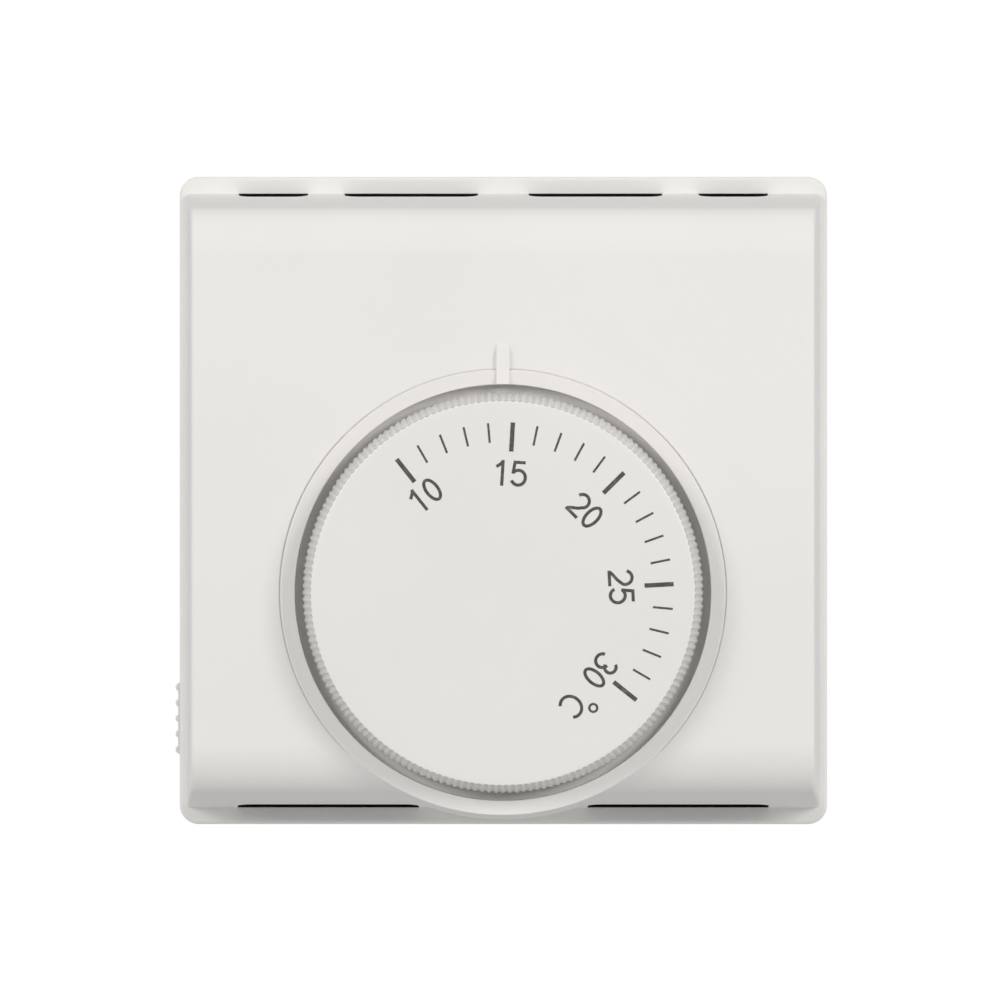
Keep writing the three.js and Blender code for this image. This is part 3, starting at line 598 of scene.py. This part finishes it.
def dial_knob():
    """The dial: one closed skin whose rows are pushed in by the flutes."""
    count = FLUTES * FLUTE_FACETS
    bm = bmesh.new()
    rows = dial_profile() + inner_profile()
    first = bmesh.ops.create_circle(bm, segments=count, radius=rows[0][0], cap_ends=False)["verts"]
    bmesh.ops.translate(bm, verts=first, vec=(0, 0, rows[0][1]))
    loop = [edge for edge in bm.edges]
    shares = {vert: 0.0 for vert in first}
    last_radius, last_depth = rows[0][0], rows[0][1]
    for radius, depth, share in rows[1:]:
        grown = bmesh.ops.extrude_edge_only(bm, edges=loop)["geom"]
        verts = [part for part in grown if isinstance(part, bmesh.types.BMVert)]
        loop = [part for part in grown if isinstance(part, bmesh.types.BMEdge)]
        bmesh.ops.scale(bm, vec=(radius / last_radius, radius / last_radius, 1), verts=verts)
        bmesh.ops.translate(bm, vec=(0, 0, depth - last_depth), verts=verts)
        last_radius, last_depth = radius, depth
        for vert in verts:
            shares[vert] = share
    for vert, share in shares.items():
        if share:
            angle = math.atan2(vert.co.y, vert.co.x)
            wave = 0.5 - 0.5 * math.cos(angle * FLUTES)
            push = FLUTE_DEPTH * share * wave ** 1.4
            radius = math.hypot(vert.co.x, vert.co.y)
            vert.co.x *= 1 - push / radius
            vert.co.y *= 1 - push / radius
    open_edges = [edge for edge in bm.edges if edge.is_boundary]
    bmesh.ops.edgeloop_fill(bm, edges=open_edges)
    bmesh.ops.recalc_face_normals(bm, faces=bm.faces)
    cap = draft_object(moved(bm, x=DIAL_CENTRE.x, y=DIAL_CENTRE.y))

    hub_low = 30.0
    roof = DIAL_FACE - 1.8
    hub = turned([(0, hub_low), (4.8, hub_low), (5, hub_low + 0.2), (5, roof + 0.3), (0, roof + 0.3)], steps=64)
    tools = [moved(hub, y=DIAL_CENTRE.y)]
    for i in range(6):
        rib = block((4.5, -0.5, 33.5), (23.2, 0.5, roof + 0.3))
        bmesh.ops.rotate(rib, verts=rib.verts, cent=(0, 0, 0),
                         matrix=Matrix.Rotation(math.radians(30 + 60 * i), 3, "Z"))
        tools.append(moved(rib, y=DIAL_CENTRE.y))
    worked(cap, "UNION", tools)
    bore = draft_object(turned([(0, hub_low - 1), (3.3, hub_low - 1), (3.3, 34.6), (0, 34.6)], steps=48))
    worked(bore, "DIFFERENCE", (block((2.5, -5, 31.1), (5, 5, 36)),))
    worked(cap, "DIFFERENCE", (moved(mesh_of(bore), y=DIAL_CENTRE.y),))
    return finished(mesh_of(cap), "dial_cap", "dial", dial_white, ("dial_knob",), crease=40)


# ---- Printed scale ----------------------------------------------------------------------------------

DEGREE_STEP = 8.35            # dial angle for one degree of temperature
INDEX_ANGLE = 3.4             # clockwise angle of the 15 mark from the top at rest
STROKE = 0.39
DIGIT_HEIGHT = 3.2
HALF = DIGIT_HEIGHT / 2
PRINT_THICKNESS = 0.03
STROKE_STEP = 0.006           # each stroke of a figure stands a little above the one before


def ellipse(cx, cy, rx, ry, start, end, steps=28):
    return [(cx + rx * x, cy + ry * y) for x, y in arc((0, 0), 1, start, end, steps)]


def glyph_strokes(sign):
    """Centre lines of a figure's strokes, centred on the origin, in millimetres."""
    top = HALF - STROKE / 2
    if sign == "0":
        return [ellipse(0, 0, 0.72, top, 0, 360, 48)]
    if sign == "1":
        return [[(0.17, -HALF), (0.17, HALF - 0.02)], [(0.27, HALF - 0.12), (-0.12, 1.08), (-0.62, 0.72)]]
    if sign == "2":
        bow = ellipse(-0.02, top - 0.84, 0.84, 0.84, 165, -28)
        return [bow + [(0.2, -0.45), (-0.55, -1.05), (-0.86, -top)], [(-0.98, -top), (0.95, -top)]]
    if sign == "3":
        upper = ellipse(-0.04, top - 0.7, 0.72, 0.7, 158, -78)
        lower = ellipse(-0.04, -top + 0.83, 0.86, 0.83, 84, -160)
        return [upper, lower]
    if sign == "5":
        bowl = ellipse(-0.04, -top + 0.92, 0.88, 0.92, 138, -156)
        return [[(0.78, top), (-0.56, top)], [(-0.5, HALF), (-0.72, -0.02)], bowl]
    if sign == "C":
        return [ellipse(0, 0, 1.22, top, 48, 312, 40)]
    return [ellipse(0, 0, 0.49, 0.49, 0, 360, 32)]


def ribbon(bm, points, width, lift=0.0):
    """A flat stroke of even width along a line of points, grown edge by edge."""
    closed = math.dist(points[0], points[-1]) < 1e-6
    line = [Vector(p) for p in points]
    previous = None
    for i, point in enumerate(line):
        before = line[i - 1] if i else (line[-2] if closed else None)
        after = line[i + 1] if i + 1 < len(line) else (line[1] if closed else None)
        steps = ((point - before) if before else None, (after - point) if after else None)
        ways = [step.normalized() for step in steps if step]
        way = sum(ways, Vector((0, 0))).normalized()
        side = Vector((-way.y, way.x)) * (width / 2) / max(0.5, way.dot(ways[0]))
        ends = [(*(point + side), lift), (*(point - side), lift)]
        if previous is None:
            previous = bm.edges.new([bm.verts.new(end) for end in ends])
            continue
        grown = bmesh.ops.extrude_edge_only(bm, edges=[previous])["geom"]
        edge = next(part for part in grown if isinstance(part, bmesh.types.BMEdge))
        order = sorted(edge.verts, key=lambda vert: (vert.co - previous.verts[0].co).length)
        for vert, end in zip(order, ends):
            vert.co = end
        previous = edge


def glyph(bm, sign, x, y, turn):
    """Adds a figure at a place on the dial, turned clockwise by an angle in degrees."""
    figure = bmesh.new()
    width = STROKE * (0.75 if sign == "o" else 1.0)
    for i, stroke in enumerate(glyph_strokes(sign)):
        ribbon(figure, stroke, width, i * STROKE_STEP)
    rotation = Matrix.Rotation(math.radians(-turn), 4, "Z")
    bmesh.ops.transform(figure, matrix=Matrix.Translation((x, y, 0)) @ rotation, verts=figure.verts)
    spare = bpy.data.meshes.new("figure")
    figure.to_mesh(spare)
    figure.free()
    bm.from_mesh(spare)
    bpy.data.meshes.remove(spare)


def on_dial(radius, angle):
    """The place at a radius and a clockwise angle from the top."""
    turn = math.radians(angle)
    return radius * math.sin(turn), radius * math.cos(turn)


def tick(bm, angle, inner, outer, width):
    ribbon(bm, [on_dial(inner, angle), on_dial(outer, angle)], width)


def word(bm, text, radius, angle, turn, pitch=2.2):
    """Figures side by side, centred on a place, reading along the turned line."""
    x, y = on_dial(radius, angle)
    way = math.radians(turn)
    for i, sign in enumerate(text):
        shift = (i - (len(text) - 1) / 2) * pitch
        glyph(bm, sign, x + shift * math.cos(way), y - shift * math.sin(way), turn)


def printed_scale():
    bm = bmesh.new()
    for degree in range(10, 31):
        angle = INDEX_ANGLE + (degree - 15) * DEGREE_STEP
        if degree % 5 == 0:
            tick(bm, angle, 17.6, 21.2, 0.55)
        else:
            tick(bm, angle, 18.7, 21.15, 0.27)
    for text, radius in (("10", 15.5), ("15", 14.9), ("20", 14.5), ("25", 14.7)):
        angle = INDEX_ANGLE + (int(text) - 15) * DEGREE_STEP
        word(bm, text, radius, angle, angle)
    turn = 130.5
    word(bm, "30", 15.4, 128.5, turn)
    glyph(bm, "o", *on_dial(18.1, 141.7), turn)
    glyph(bm, "C", *on_dial(16.4, 149), turn)
    bmesh.ops.remove_doubles(bm, verts=bm.verts, dist=1e-6)
    raised = bmesh.ops.extrude_face_region(bm, geom=list(bm.faces))
    top = [part for part in raised["geom"] if isinstance(part, bmesh.types.BMVert)]
    bmesh.ops.translate(bm, verts=top, vec=(0, 0, PRINT_THICKNESS))
    bmesh.ops.recalc_face_normals(bm, faces=bm.faces)
    moved(bm, x=DIAL_CENTRE.x, y=DIAL_CENTRE.y, z=DIAL_FACE - 0.01)
    return finished(bm, "dial_scale", "dial", ink, weighted=False)


# ---- Slide switch grip and base -----------------------------------------------------------------------


def slide_grip():
    """The slider: a block with five round ribs, a retaining shoulder and a stem."""
    low, high = bench_box("slide_knob")
    shoulder = 1.2
    y0, y1 = low.y + shoulder, high.y - shoulder
    middle = (y0 + y1) / 2
    ribs, pitch, radius = 5, 2.0, 0.535
    face = low.x + radius + 0.2
    outline = [(-39.55, y0), (-39.55, y1)]
    outline += arc((face + 0.4, y1 - 0.4), 0.4, 90, 180, 5)
    for i in range(ribs):
        y = middle + ((ribs - 1) / 2 - i) * pitch
        outline += arc((low.x + radius, y), radius, 112, 248, 12)
    outline += arc((face + 0.4, y0 + 0.4), 0.4, 180, 270, 5)
    bm = plate(outline, 1.5, high.z)
    rim = edges_where(bm, lambda co: co.z > high.z - 0.01)
    grip = draft_object(bevelled(bm, rim, 0.12, segments=2))
    worked(grip, "UNION", (
        block((-39.65, low.y, 2.8), (-38.4, high.y, high.z - 0.02)),
        block((-38.5, middle - 1, 4.2), (high.x, middle + 1, high.z - 0.1)),
    ))
    return finished(mesh_of(grip), "slide_grip", "slide_switch", casing_white, ("slide_knob",))


def refined(node, name, body, material, width, segments=2):
    """A copy of a CAD node with its corners softened."""
    source = frame["nodes"][node]
    bm = bmesh.new()
    bm.from_mesh(source.data)
    bmesh.ops.remove_doubles(bm, verts=bm.verts, dist=1e-6)
    bmesh.ops.dissolve_limit(bm, angle_limit=math.radians(1), verts=bm.verts, edges=bm.edges)
    mesh = bpy.data.meshes.new(name)
    bm.to_mesh(mesh)
    bm.free()
    mesh.shade_smooth()
    mesh.set_sharp_from_angle(angle=math.radians(32))
    mesh.materials.append(material)
    piece = bpy.data.objects.new(name, mesh)
    bpy.context.scene.collection.objects.link(piece)
    soft = piece.modifiers.new("soft edges", "BEVEL")
    soft.width = width * 0.001
    soft.segments = segments
    soft.limit_method = "ANGLE"
    soft.angle_limit = math.radians(35)
    soft.harden_normals = False
    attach(piece, body)
    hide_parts(node)
    return piece


front_cover()
dial_knob()
printed_scale()
slide_grip()
# The base tray's charcoal finish is partly painted shade, seen through the vents as their dark insides.
refined("base_plate", "base_tray", "base", base_charcoal_vent_shade, 0.15)

# ---- CAD nodes that stay ------------------------------------------------------------------------------

resistor_low, resistor_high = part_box("accelerator_resistor")
resistor_tan = lacquered_resistor((Vector(resistor_low) + Vector(resistor_high)) / 2)

SLOT_FINISHES = {
    "white_casing": casing_white,
    "white_dial": dial_white,
    "grey_base": base_charcoal_vent_shade,
    "dark_moulding": switch_black,
    "cream_moulding": nylon_cream,
    "resistor_body": resistor_tan,
    "brown_lead": brown_sleeve,
    "blue_lead": blue_sleeve,
    "bright_steel": zinc_steel,
    "spring_steel": blue_steel,
    "brass": turned_brass,
    "copper": rolled_copper,
}
for entry in frame["record"]["subparts"]:
    for material_slot in frame["nodes"][entry["node"]].material_slots:
        material_slot.material = SLOT_FINISHES[entry["material_slot"]]

# ---- Studio -------------------------------------------------------------------------------------------


def soft_light(name, place, aim, size, power, color=(1, 1, 1)):
    data = bpy.data.lights.new(name, "AREA")
    data.shape = "RECTANGLE"
    data.size, data.size_y = size
    data.energy = power
    data.color = color
    light = bpy.data.objects.new(name, data)
    light.location = place
    light.rotation_euler = (Vector(aim) - Vector(place)).to_track_quat("-Z", "Y").to_euler()
    bpy.context.scene.collection.objects.link(light)


def sky_strength(tree):
    """Fill light that is brighter from above and from both sides than from below."""
    way = tree.nodes.new("ShaderNodeTexCoord")
    split = tree.nodes.new("ShaderNodeSeparateXYZ")
    tree.links.new(way.outputs["Generated"], split.inputs[0])

    def math_node(kind, a, b):
        node = tree.nodes.new("ShaderNodeMath")
        node.operation = kind
        for socket, source in zip(node.inputs, (a, b)):
            if isinstance(source, bpy.types.NodeSocket):
                tree.links.new(source, socket)
            else:
                socket.default_value = source
        return node.outputs[0]

    sides = math_node("MULTIPLY", math_node("POWER", math_node("ABSOLUTE", split.outputs["X"], 0), 2), SKY_SIDES)
    height = math_node("MULTIPLY", split.outputs["Z"], SKY_HEIGHT)
    return math_node("ADD", math_node("ADD", sides, height), SKY_EVEN)


SKY_EVEN, SKY_HEIGHT, SKY_SIDES = 0.295, 0.13, 0.6


def studio():
    bm = bmesh.new()
    bmesh.ops.create_grid(bm, x_segments=1, y_segments=1, size=1.5)
    bmesh.ops.translate(bm, verts=bm.verts, vec=(0, 0, -0.6))
    mesh = bpy.data.meshes.new("floor")
    bm.to_mesh(mesh)
    bm.free()
    pale = Finish("pale_floor", (0.85, 0.85, 0.85), 0.9)
    mesh.materials.append(pale.material)
    floor = bpy.data.objects.new("floor", mesh)
    bpy.context.scene.collection.objects.link(floor)

    world = bpy.data.worlds.new("studio")
    bpy.context.scene.world = world
    world.use_nodes = True
    tree = world.node_tree
    seen = tree.nodes.new("ShaderNodeBackground")
    seen.inputs["Strength"].default_value = 1.0
    seen.inputs["Color"].default_value = (1, 1, 1, 1)
    fill = tree.nodes["Background"]
    fill.inputs["Color"].default_value = (0.985, 0.995, 1.0, 1)
    tree.links.new(sky_strength(tree), fill.inputs["Strength"])
    path = tree.nodes.new("ShaderNodeLightPath")
    mix = tree.nodes.new("ShaderNodeMixShader")
    tree.links.new(path.outputs["Is Camera Ray"], mix.inputs["Fac"])
    tree.links.new(fill.outputs["Background"], mix.inputs[1])
    tree.links.new(seen.outputs["Background"], mix.inputs[2])
    tree.links.new(mix.outputs["Shader"], tree.nodes["World Output"].inputs["Surface"])

    warm = (1.0, 0.985, 0.965)
    soft_light("left", (-0.39, -0.60, 0.20), (0, 0, 0), (0.2, 0.22), 1.32, warm)
    soft_light("right", (0.39, -0.60, 0.20), (0, 0, 0), (0.2, 0.22), 1.52, warm)
    soft_light("top", (0, 0.01, 0.4), (0, 0, 0), (0.4, 0.12), 0.15, warm)
    view = bpy.context.scene.view_settings
    view.view_transform = "Standard"
    view.look = "None"


def camera():
    """A long lens square on to the wall, a touch to the right of the middle."""
    data = bpy.data.cameras.new("camera")
    data.sensor_width = 36
    data.lens = 252.5
    data.clip_start = 0.05
    eye = Vector((0.002, -0.908, 0))
    aim = Vector((-0.00036, -FLANGE_FRONT * 0.001, 0))
    view = bpy.data.objects.new("camera", data)
    view.location = eye
    view.rotation_euler = (aim - eye).to_track_quat("-Z", "Y").to_euler()
    bpy.context.scene.collection.objects.link(view)
    bpy.context.scene.camera = view


studio()
camera()
